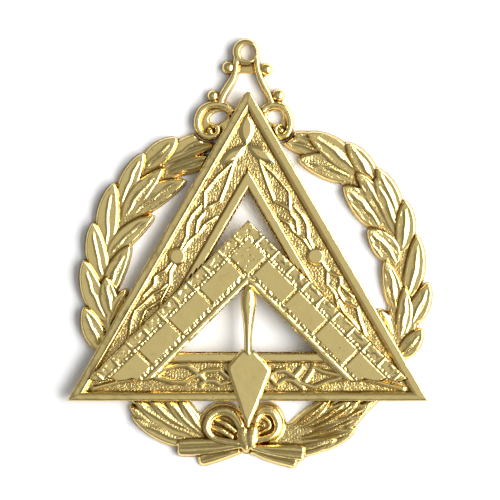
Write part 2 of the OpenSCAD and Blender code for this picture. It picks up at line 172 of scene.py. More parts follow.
def inside(x, y, outline):
    """How far inside a convex outline a point lies: the least distance to the line of any edge. Its corners
    run anticlockwise."""
    reach = np.full(np.shape(x), np.inf)
    for a, b in zip(outline, np.roll(outline, -1, 0)):
        d = (b - a) / np.hypot(*(b - a))
        reach = np.minimum(reach, d[0] * (y - a[1]) - d[1] * (x - a[0]))
    return reach


def triangle_reach(x, y):
    """Distance inside the triangle's outline, negative outside it."""
    return inside(x, y, TRIANGLE)


def ellipse_reach(x, y, centre, radii, degrees=0):
    """About how far inside an ellipse a point lies: one less its scaled radius, times the lesser radius."""
    turn = radians(degrees)
    dx, dy = x - centre[0], y - centre[1]
    u, v = dx * cos(turn) + dy * sin(turn), dy * cos(turn) - dx * sin(turn)
    return (1 - np.hypot(u / radii[0], v / radii[1])) * min(radii)


def fall(reach, radius):
    """The drop of a rounded edge, 1 at the edge and 0 from one radius in: a quarter circle."""
    t = 1 - np.clip(reach / radius, 0, 1)
    return 1 - np.sqrt(1 - t * t)


def bump(value, centre, width):
    """A round hump of height 1 at the centre that fades over the width: a bell curve."""
    return np.exp(-(((value - centre) / width) ** 2))


def sand(x, y, size, seed=1):
    """A rough cast skin with a spread of 1: ripples of about one size, summed in directions and places that
    are drawn by lot."""
    total = 0
    count = 28
    for turn, (place, share, swing) in enumerate(np.random.default_rng(seed).random((count, 3))):
        wave = size * (0.65 + 0.8 * share)
        angle = pi * (turn + 2 * swing) / count
        total += np.cos(2 * pi * ((x * cos(angle) + y * sin(angle)) / wave + place))
    return total / sqrt(count / 2)


def soften(sheet, cells):
    """Blurs a grid of heights by a number of cells: its frequencies are damped by a bell curve."""
    edge = 20
    sheet = np.pad(sheet, edge, mode="edge")
    ky, kx = np.fft.fftfreq(sheet.shape[0])[:, None], np.fft.rfftfreq(sheet.shape[1])[None]
    damp = np.exp(-2 * (pi * cells) ** 2 * (kx**2 + ky**2))
    return np.fft.irfft2(np.fft.rfft2(sheet) * damp, sheet.shape)[edge:-edge, edge:-edge]


def hollows(height, wide, narrow):
    """How far a grid of heights lies below its surroundings, over a wide and over a narrow number of cells,
    as marks from 0 to 1."""
    hollow = (soften(height, wide) - height) * 3
    crevice = (soften(height, narrow) - height) * 11 - 0.15
    return np.clip(hollow, 0, 1), np.clip(crevice, 0, 1)


# Meshes


def placed(name, data, place=(0, 0, 0)):
    """Puts a mesh, a light or a camera into the scene."""
    thing = bpy.data.objects.new(name, data)
    thing.location = place
    bpy.context.scene.collection.objects.link(thing)
    return thing


def mesh_piece(name, points, faces, marks, slot, node, finish, close_back=False):
    """Puts whole arrays of points in millimetres, faces and marks into a gilt mesh that stands for a piece of
    the frame. finish holds the gilding's settings."""
    mesh = bpy.data.meshes.new(name)
    mesh.from_pydata(points * MM, [], [face for group in faces for face in group.tolist()])
    for label, values in marks.items():
        mark = mesh.attributes.new(label, "FLOAT", "POINT")
        mark.data.foreach_set("value", values.astype(np.float32))
    if close_back:
        work = bmesh.new()
        work.from_mesh(mesh)
        rim = [edge for edge in work.edges if edge.is_boundary]
        bmesh.ops.triangle_fill(work, edges=rim, use_beauty=False, normal=Vector((0, 0, -1)))
        work.to_mesh(mesh)
        work.free()
    mesh.validate()
    mesh.shade_smooth()
    mesh.set_sharp_from_angle(angle=radians(55))
    mesh.materials.append(gilding(slot, *finish))
    piece = placed(name, mesh)
    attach(piece, "root")
    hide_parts(node)


# Outlines in a grid cell by the pattern of its corners that lie inside. Anticlockwise from the lower left,
# 0 to 3 are its corners and 4 to 7 the crossings on the sides that follow them.
CELL_OUTLINES = {
    1: [[0, 4, 7]], 2: [[1, 5, 4]], 3: [[0, 1, 5, 7]], 4: [[2, 6, 5]], 5: [[0, 4, 7], [2, 6, 5]],
    6: [[1, 2, 6, 4]], 7: [[0, 1, 2, 6, 7]], 8: [[3, 7, 6]], 9: [[0, 4, 6, 3]], 10: [[1, 5, 4], [3, 7, 6]],
    11: [[0, 1, 5, 6, 3]], 12: [[2, 3, 7, 5]], 13: [[0, 4, 5, 2, 3]], 14: [[1, 2, 3, 7, 4]],
    15: [[0, 1, 2, 3]],
}


def trimmed(field, edge):
    """Cuts a grid along the line where edge is 0. The last axis of field is what each of its points carries.
    Gives the points that stay, the faces between them and the pairs of points along the cut."""
    within = edge > 0
    corner = np.full(within.shape, -1)
    corner[within] = np.arange(within.sum())
    points = [field[within]]
    total = len(points[0])
    crossings = []
    for a, b in ((np.s_[:, :-1], np.s_[:, 1:]), (np.s_[:-1], np.s_[1:])):
        crossed = within[a] != within[b]
        t = np.clip(edge[a] / (edge[a] - edge[b] + 1e-9), 0.12, 0.88)[crossed][:, None]
        ids = np.full(crossed.shape, -1)
        ids[crossed] = total + np.arange(crossed.sum())
        points.append(mix(field[a][crossed], field[b][crossed], t))
        total += len(points[-1])
        crossings.append(ids)
    across, upward = crossings
    cells = np.stack(
        [corner[:-1, :-1], corner[:-1, 1:], corner[1:, 1:], corner[1:, :-1]]
        + [across[:-1], upward[:, 1:], across[1:], upward[:, :-1]],
        -1,
    )
    pattern = sum((cells[..., k] >= 0) * 2**k for k in range(4))
    faces, rims = [], []
    for key, outlines in CELL_OUTLINES.items():
        found = cells[pattern == key]
        for outline in outlines:
            faces.append(found[:, outline])
            sides = zip(outline, outline[1:] + outline[:1])
            rims += [found[:, [a, b]] for a, b in sides if a > 3 and b > 3]
    return np.concatenate(points), faces, np.concatenate(rims)


# Marks of a point: how rough it is, and how far it lies below its surroundings in a wide hollow and in a
# narrow one. The gilding paints an orange reflection into wide hollows and shade into narrow ones.
MARKS = "grain", "hollow", "crevice"

# Every place of a grid
WHOLE = np.s_[:, :]

# Size of the ripples on a rough cast skin
GRIT = 0.46


class Relief:
    """A casting as heights over a square grid, with how far inside its outline each point lies, in mm."""

    def __init__(self, xs, ys, cell, ground, back=0):
        """The places of the grid are half a cell apart, and ground is the height where nothing is laid."""
        self.xs, self.ys, self.cell, self.back = xs, ys, cell, back
        self.x, self.y = np.meshgrid(xs, ys)
        self.reach = np.full(self.x.shape, -9.0)
        self.height = np.full(self.x.shape, float(ground))
        self.grain = np.zeros(self.x.shape)

    @classmethod
    def between(cls, low, high, cell, ground, back=0):
        """A blank casting between two corners."""
        xs, ys = (np.arange(a, b, cell / 2) for a, b in zip(low, high))
        return cls(xs, ys, cell, ground, back)

    def window(self, low, high):
        """The part of the grid between two corners."""
        i = np.searchsorted(self.ys, [low[1], high[1]])
        j = np.searchsorted(self.xs, [low[0], high[0]])
        return slice(*i), slice(*j)

    def lay(self, part, reach, height, grain=0):
        """Lays a form on the casting: the outline grows by it, and the higher surface shows."""
        shows = (height > self.height[part]) & (reach > -0.05)
        self.height[part] = np.where(shows, height, self.height[part])
        self.grain[part] = np.where(shows, grain, self.grain[part])
        self.reach[part] = np.maximum(self.reach[part], reach)

    def band(self, points, widths, section, grain=0, cut=0):
        """A band along a path. widths are half widths spread evenly along it, and section gives the height
        from share, place across and distance inside. Its far end is round, or cut straight with corners of
        a radius."""
        path = curve(points)
        most = max(widths) + 0.6
        part = self.window(path.min(0) - most, path.max(0) + most)
        x, y = self.x[part], self.y[part]
        share, side = along(x, y, path)
        half = np.interp(share, np.linspace(0, 1, len(widths)), widths)
        reach = half - np.abs(side)
        if cut:
            onward = (path[-1] - path[-2]) / np.hypot(*(path[-1] - path[-2]))
            left = (path[-1][0] - x) * onward[0] + (path[-1][1] - y) * onward[1]
            corner = cut - np.hypot(np.maximum(cut - reach, 0), np.maximum(cut - left, 0))
            reach = np.where(np.minimum(reach, left) > cut, np.minimum(reach, left), corner)
        self.lay(part, reach, section(share, side / half, reach), grain)

    def seat(self, past, gap):
        """Cuts the casting down to a gap below the triangle, under it and a little past its outline."""
        under = triangle_reach(self.x, self.y) > -past
        self.height = np.where(under, np.minimum(self.height, SEAT_Z - gap), self.height)

    def mesh(self, soft, draft):
        """The grid cut along its outline, a wall down to the back all round, and the marks.
        The outline lies draft outside the laid forms, and the surface falls to it from one draft inside."""
        edge = self.reach + draft
        low = self.back + 0.3
        surface = low + (np.maximum(self.height, low) - low) * np.sqrt(np.clip(edge / (2 * draft), 0, 1))
        surface = soften(surface, 2 * soft / self.cell)
        surface += 0.022 * self.grain * sand(self.x, self.y, GRIT)
        above = np.where(edge > 0, surface, self.back)
        hollow, crevice = hollows(above, 1.2 / self.cell, 0.5 / self.cell)
        edge = soften(edge, 0.08 / self.cell)
        grain = soften(self.grain, 1)
        # Painted reflection: the hollow mark is raised near the outline, so the gilding paints the walls
        # orange as if lit by the gilt beside them.
        hollow = np.maximum(hollow, 0.7 * (1 - step(0, 0.3, edge)))
        field = np.stack([self.x, self.y, surface, grain, hollow, crevice], -1)
        points, faces, rim = trimmed(field[::2, ::2], edge[::2, ::2])
        used, place = np.unique(rim, return_inverse=True)
        place = place.reshape(rim.shape) + len(points)
        foot = points[used].copy()
        # Painted reflection: the points at the wall's foot get a full hollow mark, so the gilding paints them
        # orange.
        foot[:, 2:5] = self.back, 0, 1
        points = np.concatenate([points, foot])
        faces.append(np.stack([rim[:, 1], rim[:, 0], place[:, 0], place[:, 1]], -1))
        return points[:, :3], faces, dict(zip(MARKS, points[:, 3:].T))


def backed(top, back, sheets):
    """A sheet of points with two more rows on the back plane, under its last and its first one, and the marks
    for all of them."""
    under = np.stack([top[-1], top[0]])
    under[..., 2] = back
    blank = np.zeros((2, top.shape[1]))
    marks = {mark: np.concatenate([sheet, blank]).ravel() for mark, sheet in zip(MARKS, sheets)}
    return np.concatenate([top, under]), marks


def carried(points, closed):
    """Faces of a closed profile carried along a path: points has one row for each place round the profile and
    one column for each place along the path. An open path is closed by a cap at each end."""
    ids = np.arange(points[..., 0].size).reshape(points.shape[:2])
    if closed:
        ids = np.hstack([ids, ids[:, :1]])
    above = np.roll(ids, -1, 0)
    faces = [np.stack([ids[:, :-1], ids[:, 1:], above[:, 1:], above[:, :-1]], -1).reshape(-1, 4)]
    return faces if closed else faces + [ids[None, :, 0], ids[None, ::-1, -1]]


# Shader


class Value:
    """A number in a material that adds, subtracts and multiplies like a plain one."""

    def __init__(self, sheet, socket):
        self.sheet, self.socket = sheet, socket

    def maths(self, operation, a, b):
        node = self.sheet.node("ShaderNodeMath", {"operation": operation}, {0: a, 1: b})
        return Value(self.sheet, node.outputs[0])


# The operators of a value, each with its reflected form
for sign, kind in (("add", "ADD"), ("sub", "SUBTRACT"), ("mul", "MULTIPLY")):
    setattr(Value, f"__{sign}__", lambda own, other, kind=kind: own.maths(kind, own, other))
    setattr(Value, f"__r{sign}__", lambda own, other, kind=kind: own.maths(kind, other, own))


class Sheet:
    """The nodes of one material."""

    def __init__(self, name):
        self.material = bpy.data.materials.new(name)
        self.material.use_nodes = True
        self.tree = self.material.node_tree
        self.tree.nodes.clear()

    def node(self, kind, settings=None, sockets=None):
        """Adds a node of a kind, with its settings first and then the values or links of its sockets."""
        node = self.tree.nodes.new(kind)
        for name, value in (settings or {}).items():
            setattr(node, name, value)
        for name, value in (sockets or {}).items():
            value = getattr(value, "socket", value)
            if isinstance(value, bpy.types.NodeSocket):
                self.tree.links.new(value, node.inputs[name])
            else:
                node.inputs[name].default_value = value
        return node

    def mark(self, name):
        """A mark that the mesh carries at each point."""
        node = self.node("ShaderNodeAttribute", {"attribute_type": "GEOMETRY", "attribute_name": name})
        return Value(self, node.outputs["Fac"])

    def noise(self, place, scale, detail=2, rough=0.5):
        sockets = {"Vector": place, "Scale": scale, "Detail": detail, "Roughness": rough}
        return Value(self, self.node("ShaderNodeTexNoise", {}, sockets).outputs["Fac"])

    def blend(self, share, a, b):
        """A colour that lies a share of the way from one to another."""
        settings = {"data_type": "RGBA", "clamp_factor": True}
        return self.node("ShaderNodeMix", settings, {"Factor": share, "A": a, "B": b}).outputs["Result"]

    def finish(self, sockets):
        """Gives the material its shader and returns it."""
        shader = self.node("ShaderNodeBsdfPrincipled", {}, sockets)
        self.node("ShaderNodeOutputMaterial", {}, {"Surface": shader.outputs[0]})
        return self.material


def gilding(name, shine, tooth, brushed=0, brush_turn=0):
    """Gilt metal. Hollows and the walls round each outline are painted orange as a reflection of the gilt on
    itself. The narrowest hollows are painted with shade that partly stands for tarnished metal.
    Marked grain is stippled by fine noise and made darker, and flats carry a few pits and faint scratches
    along one direction."""
    tints = bpy.context.scene.jewel_colours
    sheet = Sheet(name)
    place = sheet.node("ShaderNodeTexCoord").outputs["Object"]
    turned = sheet.node(
        "ShaderNodeMapping", {},
        {"Vector": place, "Rotation": (0, 0, radians(brush_turn)), "Scale": (0.06, 1, 1)},
    ).outputs[0]
    grain, hollow, crevice = (sheet.mark(mark) for mark in MARKS)
    wave = sheet.noise(place, 420, 1)
    cloud = sheet.noise(place, 700, 3)
    stipple = sheet.noise(place, 2900, 2, 0.6)
    fine = sheet.noise(place, 9000, 2)
    scratch = sheet.noise(turned, 6000, 2)
    pit = Value(sheet, sheet.node(
        "ShaderNodeMapRange", {"interpolation_type": "SMOOTHSTEP"},
        {"Value": sheet.noise(place, 1500, 1), "From Min": 0.75, "From Max": 0.82},
    ).outputs["Result"])
    # Painted reflection and shade: the wide hollow mark paints an orange reflection, and the narrow crevice
    # mark paints shade that is partly tarnished metal. Grain and pits darken the colour too.
    reflection_and_deep_tone = hollow * 0.8 + grain * 0.15 + (cloud - 0.5) * 0.8
    shade_and_tarnish = crevice * 0.78 + grain * 0.25 + pit
    tint = sheet.blend(shade_and_tarnish, sheet.blend(reflection_and_deep_tone, (*tints.gilt, 1), (*tints.deep_tone_and_reflection, 1)), (*tints.shade_and_tarnish_tint, 1))
    rough = shine + (cloud - 0.5) * 0.1 + grain * 0.04 + (scratch - 0.5) * (0.06 + brushed)
    relief = (stipple - 0.5) * (grain * 0.6 + tooth * 0.14) + (fine - 0.5) * (tooth * 0.12)
    relief = relief + (scratch - 0.5) * brushed * 0.2 + (cloud - 0.5) * 0.03 + wave * (0.5 + brushed * 7)
    bumped = sheet.node("ShaderNodeBump", {}, {"Strength": 1, "Distance": 0.00022, "Height": relief})
    return sheet.finish(
        {"Base Color": tint, "Metallic": 1, "Roughness": rough, "Normal": bumped.outputs["Normal"]}
    )


# Hanger

# The scrolls, in millimetres from the hanging hole: centre line, half widths along it
VOLUTE_WIDTHS = [0.75, 0.82, 0.8, 0.72, 0.58]
SCROLLS = [
    (
        [(-2.15, -0.4), (-2.35, -1.6), (-2.5, -3.5), (-3, -5.2), (-4, -6.9), (-5, -8.6), (-5.6, -10.2)],
        [0.6, 0.72, 0.75, 0.82, 0.86, 0.88, 0.85],
    ),
    (
        [(1.55, -0.4), (1.7, -1.6), (1.95, -3.5), (2.5, -5.2), (3.3, -6.9), (4.2, -8.6), (4.8, -10.2)],
        [0.6, 0.7, 0.7, 0.72, 0.72, 0.66, 0.66],
    ),
    (
        [
            (-3.2, -12), (-4.6, -10.7), (-6.8, -10.4), (-8.9, -11.2), (-10, -13), (-10.05, -15),
            (-9, -16.5), (-7.3, -16.9), (-6.1, -16.2), (-6.1, -15), (-6.9, -14.6),
        ],
        VOLUTE_WIDTHS,
    ),
    (
        [
            (2.8, -11.8), (3.8, -10.9), (5.2, -10.5), (7, -11), (8.2, -12.7), (8.45, -14.6),
            (7.9, -16.3), (6.7, -16.9), (5.6, -16.3), (5.5, -15.2), (6, -14.6),
        ],
        VOLUTE_WIDTHS,
    ),
]
EYE_CENTRE = (-0.5, 0.1)
# Beads on the scrolls: place, radius
KNOBS = [
    (-3.95, -3, 1.3), (3.65, -3.4, 1.25), (-7, -8.7, 1.2), (6.1, -8.6, 1.25),
    (-7.6, -15.8, 0.8), (6.65, -15.6, 0.75),
]
# Openings within the volutes: place, the two radii, turn in degrees
OPENINGS = [(-6, -13, 2, 1.15, 22), (5.45, -13, 1.7, 1.35, -12)]
# The thin web: round patches behind the volutes as place and radius, and the corners of the patch between
# the arms and of the foot, whose upper and lower ends are cut level
VOLUTE_WEBS = [(-6.7, -13.6, 3.2), (5.6, -13.5, 2.9)]
ARM_WEB = np.array([[-2.2, -4.1], [1.6, -4.1], [1.8, -1.5], [-2.2, -1.5]])
FOOT = np.array([[-7.6, -20.5], [7.6, -20.5], [0, -7.7]])
FOOT_TOP = APEX_Y - 2.2
FOOT_END = -16.8


def openings_reach(x, y, wider=0):
    """How far inside an opening of the volutes a point lies, with the openings drawn wider by an amount."""
    return np.max([
        ellipse_reach(x, y, (px, py), (along_r + wider, across_r + wider), turn)
        for px, py, along_r, across_r, turn in OPENINGS
    ], 0)


def lay_hanger(relief, sizes):
    """The scroll hanger: bands with a round back, domed beads, and a thin web behind that joins them."""
    x, y = relief.x, relief.y
    scroll, web = sizes.scroll / MM, sizes.web / MM
    eye, hole = sizes.eye / MM / 2, sizes.hole / MM / 2

    def round_back(share, across, reach):
        return web + (scroll - web) * np.sqrt(np.clip(1 - np.abs(across) ** 2.6, 0, 1))

    foot = np.minimum(inside(x, y, FOOT), np.minimum(FOOT_TOP - y, y - FOOT_END))
    patches = [radius - np.hypot(x - px, y - py) for px, py, radius in VOLUTE_WEBS]
    for reach in (foot, inside(x, y, ARM_WEB), *patches):
        relief.lay(WHOLE, reach, web, 0.3)
    for points, widths in SCROLLS:
        relief.band(points, widths, round_back)
    gap = np.hypot(x, y)
    rim = eye - np.hypot(x - EYE_CENTRE[0], y - EYE_CENTRE[1])
    relief.lay(WHOLE, rim, scroll + 0.1 - 0.7 * fall(rim, 0.9) - 0.5 * fall(gap - hole, 0.35))
    for px, py, radius in KNOBS:
        part = relief.window((px - 2, py - 2), (px + 2, py + 2))
        far = np.hypot(x[part] - px, y[part] - py)
        dome = np.sqrt(np.clip(1 - (far / radius) ** 2, 0, 1))
        relief.lay(part, radius - far, web - 0.1 + 1.15 * dome)
    relief.reach = np.minimum(relief.reach, -openings_reach(x, y))
    relief.reach = np.minimum(relief.reach, gap - hole - 0.12)


class JewelHanger(bpy.types.Operator):
    """Makes the scroll hanger with its hanging hole"""

    bl_idname = "jewel.hanger"
    bl_label = "Hanger"

    def execute(self, context):
        relief = Relief.between((-12, -21.5), (11, 4), 0.1, 0.3)
        lay_hanger(relief, context.scene.jewel_sizes)
        relief.seat(0.18, 0.12)
        mesh_piece("scroll_hanger", *relief.mesh(0.07, 0.12), "hanger_gilt", "hanger", (0.17, 0.3), True)
        return {"FINISHED"}


# Wreath

# A row for each leaf: angle and radius of its tip, angle and radius of its base, width, height.
# Angles in degrees about the wreath's centre, radii as shares of its radius, the rest of a common leaf's.
LEFT_LEAVES = [
    (116, 0.97, 132, 0.93, 1.05, 1), (128, 1, 148, 0.89, 0.95, 1), (142, 1, 165, 0.86, 1.1, 1),
    (157, 0.99, 177, 0.85, 1.05, 1), (170, 0.98, 193, 0.85, 1.1, 1), (186, 0.97, 203, 0.92, 1.05, 1),
    (126, 0.86, 152, 0.84, 0.95, 0.95), (175, 0.84, 193, 0.81, 0.95, 0.95), (121, 0.73, 150, 0.82, 1.1, 0.9),
    (143, 0.7, 168, 0.85, 0.95, 0.9), (160, 0.74, 184, 0.84, 0.95, 0.9), (180, 0.72, 196, 0.86, 0.75, 0.8),
    (103, 0.91, 125, 0.88, 1.1, 0.7), (103, 0.855, 125, 0.87, 0.5, 0.95), (105, 0.79, 126, 0.84, 0.5, 0.95),
    (105, 0.745, 127, 0.82, 0.5, 0.9),
]
RIGHT_LEAVES = [
    (70, 0.96, 47, 0.91, 1.2, 1), (57, 1.01, 40, 0.94, 0.95, 1), (44, 1.01, 25, 0.94, 0.95, 1),
    (30, 1.03, 14, 0.9, 1, 1), (18, 1.01, -4, 0.9, 1, 1), (2, 1.03, -13, 0.94, 0.95, 1),
    (-13, 1.02, -25, 0.94, 0.9, 0.95), (78, 0.87, 59, 0.9, 0.9, 0.9), (70, 0.8, 47, 0.87, 1.2, 0.9),
    (48, 0.8, 25, 0.83, 1.25, 0.9), (48, 0.91, 24, 0.88, 0.95, 0.95), (27, 0.76, 10, 0.86, 1.2, 0.9),
    (12, 0.79, -9, 0.85, 0.9, 0.9), (-9, 0.75, -18, 0.87, 0.6, 0.65), (1, 0.89, -19, 0.91, 0.8, 0.95),
    (75, 0.93, 60, 0.93, 0.75, 0.8), (42, 0.96, 20, 0.9, 0.9, 0.9),
]
# The same for the leaves that fan out beside the bow
LEFT_FAN = [
    (234, 0.72, 255, 0.9, 0.7, 0.75), (230, 0.79, 253, 0.89, 0.65, 0.75), (225, 0.86, 250, 0.895, 0.7, 0.75),
    (221, 0.93, 252, 0.905, 0.8, 0.75), (224, 0.975, 247, 0.95, 0.8, 0.7), (227, 1.01, 252, 0.94, 0.85, 0.8),
]
RIGHT_FAN = [
    (-52, 0.77, -75, 0.84, 0.7, 0.8), (-47, 0.86, -73, 0.86, 0.75, 0.75), (-44, 0.89, -70, 0.89, 0.75, 0.75),
    (-43, 0.955, -66, 0.91, 0.9, 0.7), (-48, 0.975, -75, 0.9, 0.9, 0.8), (-53, 1.01, -74, 0.95, 0.9, 0.75),
    (-60, 1, -80, 0.95, 0.8, 0.7),
]
# How leaves are cut, left and right as on a leaf whose tip is up. The droop is that of the right half, and a
# leaf whose base lies within the inner radius is an inner one.
LeafCut = namedtuple(
    "LeafCut",
    "left_border right_border left_depth right_depth droop rib rib_width streak outer_rough inner_radius fan",
)
BRANCHES = [
    (LeafCut(0.45, 0.7, 0.05, 0.15, 0, 0.18, 0.22, 0.035, 0, 0.846, False), LEFT_LEAVES),
    (LeafCut(0.45, 0.7, 0.05, 0.15, 0, 0.18, 0.34, 0, 0, 0.846, True), LEFT_FAN),
    (LeafCut(0.5, 0.5, 0.12, 0.15, 0.12, 0.18, 0.22, 0.035, 0.35, 0.885, False), RIGHT_LEAVES),
    (LeafCut(0.5, 0.5, 0.32, 0.32, 0, 0.36, 0.34, 0, 0.35, 0.885, True), RIGHT_FAN),
]
WREATH_CENTRE = np.array([0.6, BASE_Y + 22.37])
# Each stem: the angles between which it runs, and its radius as a share
STEMS = [(113, 258, 0.865), (66, -78, 0.895)]


def lay_leaf(relief, sizes, cut, row):
    """A laurel leaf: widest near its middle, with a tip that lifts off the stem. Across it lie a rounded
    border, a trough, the midrib, a trough and the other border. Its half width is a power of a half sine
    along it."""
    tip_angle, tip_radius, base_angle, base_radius, width, rise = row
    t = np.linspace(0, 1, 13)
    radius = sizes.wreath / MM * mix(base_radius, tip_radius, t)
    path = WREATH_CENTRE + polar(mix(base_angle, tip_angle, t), radius)
    half = width * sizes.leaf / MM / 2
    part = relief.window(path.min(0) - half - 0.6, path.max(0) + half + 0.6)
    x, y = relief.x[part], relief.y[part]
    share, side = along(x, y, path)
    reach = half * np.sin(pi * np.clip(share, 0, 1) ** 0.85).clip(0) ** 0.58 - np.abs(side)
    body = mix(1, rise * sizes.leaf_tip / MM - 0.05, share**0.9)
    middle = step(0, 0.2, share) * (1 - step(0.7, 0.95, share))
    lit = np.clip(-side / half, 0, 1) if cut.droop else 0
    border = 0.5 * (1 - np.clip(reach / np.where(side > 0, cut.left_border, cut.right_border), 0, 1)) ** 1.4
    depth = np.where(side > 0, cut.left_depth, cut.right_depth)
    trough = depth * middle * bump(reach, 0.52 * half, 0.28 * half) + cut.droop * lit * middle
    rib = cut.rib * middle * bump(side + 0.1 * sand(x, y, 4), 0, cut.rib_width)
    inner = cut.outer_rough + 0.65 * (base_radius < cut.inner_radius)
    streaks = cut.streak * inner * middle * sand(share * 1.3, side, 0.55, 3)
    height = body - border * (1 - 0.5 * lit) - trough + rib + streaks - 1.2 * fall(reach, 0.16)
    if cut.fan:
        rough = 0.8 * step(0.1, 0.5, reach) * bump(side, 0, 0.5)
    else:
        rough = (0.05 + 0.5 * inner * bump(side, 0, 0.6 * half)) * step(0.4, 0.9, reach)
    relief.lay(part, reach, height, rough)


# The bow's loops: the centre line of each, in millimetres
LOOPS = [
    [
        (-1.6, -74.6), (-2.4, -73.2), (-3.6, -72.2), (-5.2, -71.9), (-7, -72.6), (-8.1, -74.2),
        (-8.1, -75.9), (-6.8, -77.2), (-4.2, -77.9), (-2, -78.2),
    ],
    [
        (1.5, -73.6), (2.2, -72.4), (3.5, -71.7), (5, -72.2), (6, -74), (5.8, -75.8), (4.4, -77), (2, -77.7),
    ],
]
# Width of the ribbon along a loop, as a share
LOOP_WIDTHS = np.array([1, 1.05, 1, 0.7, 0.75])
# Folds within the loops and tails of the bow: centre line, half widths along it, height
FOLDS = [
    ([(-6.4, -73.8), (-4.8, -74.3), (-2.6, -75.8)], [0.45, 0.7, 0.6], 2),
    ([(-7.4, -74.9), (-5.6, -75.6), (-3.2, -77)], [0.45, 0.75, 0.6], 2.2),
    ([(1.6, -73.2), (3.3, -73.2), (4.4, -74.2), (4.2, -75.4), (2.4, -76.3)], [0.4, 0.5, 0.5, 0.45, 0.4], 2),
    ([(1.8, -74.5), (2.9, -74.8)], [0.5, 0.4], 1.8),
]
TAILS = [
    ([(-1.9, -79.9), (-5.5, -80.7), (-9.8, -81.8)], [0.6, 1, 1.25, 1.25], 1.5),
    ([(-1.5, -78.7), (-7, -78.9), (-11, -79.1), (-14.2, -79.2)], [0.8, 1.3, 1.7, 1.85, 1.7], 2.1),
    ([(1, -80.1), (5, -81.2), (9.9, -82.3)], [0.5, 0.9, 1.1, 1.15], 1.5),
    ([(1, -79.2), (5, -79.7), (9.4, -80.1), (11.4, -80.3)], [0.7, 1.1, 1.4, 1.65, 1.6], 2.1),
]
# The low ledges that the loops lie on: place, the two radii
LEDGES = [((-5, -74.3), (4.5, 4.1)), ((3.9, -74.3), (3.5, 4))]
# The two lobes of the knot: place, the two radii, turn in degrees, height
KNOT = [(-0.75, -77.3, 1.5, 2.9, 12, 2.7), (0.75, -77, 1.4, 2.6, -14, 2.9)]


def ribbon(top):
    """Section of a slightly rounded ribbon with a shallow crease."""

    def section(share, across, reach):
        return top - 0.45 * across**2 - 1.1 * fall(reach, 0.3) - 0.12 * bump(across, 0.3, 0.2)

    return section


def folded_ribbon(top):
    """Section of a ribbon whose fold deepens away from the knot."""

    def section(share, across, reach):
        fold = step(0, 0.4, share) * bump(across, -0.12, 0.24)
        return top - 0.5 * across**2 - 1.1 * fall(reach, 0.5) - 0.3 * fold

    return section


def lay_bow(relief, sizes):
    """The ribbon bow: slightly rounded bands on low ledges, folds inside the loops, a knot of two lobes."""
    for centre, radii in LEDGES:
        relief.lay(WHOLE, ellipse_reach(relief.x, relief.y, centre, radii), 1.2, 0.3)
    for points, widths, top in FOLDS:
        relief.band(points, widths, ribbon(top), 0.3)
    for points, widths, top in TAILS:
        relief.band(points, widths, folded_ribbon(top), 0.25, 0.9)
    for points in LOOPS:
        relief.band(points, sizes.ribbon / MM / 2 * LOOP_WIDTHS, ribbon(2.4), 0.3)
    for px, py, across_r, along_r, turn, top in KNOT:
        reach = ellipse_reach(relief.x, relief.y, (px, py), (across_r, along_r), turn)
        part = reach / across_r
        relief.lay(WHOLE, reach, top - 1.2 * (1 - np.sqrt(np.clip(part * (2 - part), 0, 1))), 0.6)


def lay_wreath(relief, sizes):
    """Two stems with their leaves, tied by the bow, on a low ground that joins them."""
    for start, end, radius in STEMS:
        path = WREATH_CENTRE + polar(np.linspace(start, end, 60), sizes.wreath / MM * radius)
        share, side = along(relief.x, relief.y, path)
        relief.lay(WHOLE, 3 * step(-0.02, 0.05, share) - np.abs(side), 1, 0.8)
    for cut, leaves in BRANCHES:
        for row in leaves:
            lay_leaf(relief, sizes, cut, row)
    lay_bow(relief, sizes)


class JewelWreath(bpy.types.Operator):
    """Makes the laurel wreath and its bow as one casting"""

    bl_idname = "jewel.wreath"
    bl_label = "Wreath"

    def execute(self, context):
        """The hanger is laid on a blank over the same grid, to keep the wreath clear of its outline."""
        sizes = context.scene.jewel_sizes
        relief = Relief.between((-36.5, -85), (38.5, -14), 0.15, 0.6)
        lay_wreath(relief, sizes)
        rows, columns = relief.window((-12, -20), (11, -14))
        hanger = Relief(relief.xs[columns], relief.ys[rows], relief.cell, 0.3)
        lay_hanger(hanger, sizes)
        relief.reach[rows, columns] = np.minimum(relief.reach[rows, columns], -hanger.reach - 0.5)
        relief.reach = np.minimum(relief.reach, -openings_reach(relief.x, relief.y, 0.8))
        relief.seat(0.25, 0.15)
        mesh_piece("laurel_wreath", *relief.mesh(0.06, 0.2), "wreath_gilt", "wreath", (0.17, 0.4), True)
        return {"FINISHED"}


# Triangle

# Height of the stippled ground, and width of the inner rim
GROUND_Z = RIM_Z - 0.58
INNER_RIM = 1.98
# Width of the base's bar as a share of that of the sides
BASE_SHARE = 0.955
# The left side, the base and the right side: how much wider than set the outer rim is, its bevel as a share,
# the width of the inner rim's bevel, and how far the outer rim leans outward
BARS = [(0, 0.8, 0.22, 0.24), (0, 0.6, 0.3, 0.09), (0.25, 0.5, 0.5, 0.09)]

# The ornament on the sides is measured from here: down from the apex, and to the right of it
ORNAMENT_DROP, ORNAMENT_MIDDLE = 1.1, -0.3
# Straps of the ornament on both sides: distance down along the side and in from it
SIDE_STRAPS = [
    [(13, 4.6), (17.3, 3.3), (21.4, 2.6), (24.3, 4.2)],
    [(13, 4.6), (17.5, 5.5), (21.4, 6.1), (24.3, 4.2)],
    [(24.3, 3.2), (26.6, 2.7), (28.8, 2.8), (31, 3.9), (33.6, 4.1)],
    [(24.6, 7), (26.9, 5.8), (28.8, 5.7), (31.2, 4.8), (33.6, 4.6)],
    [(25.2, 4.5), (27, 4.2), (29.4, 5.2)],
]
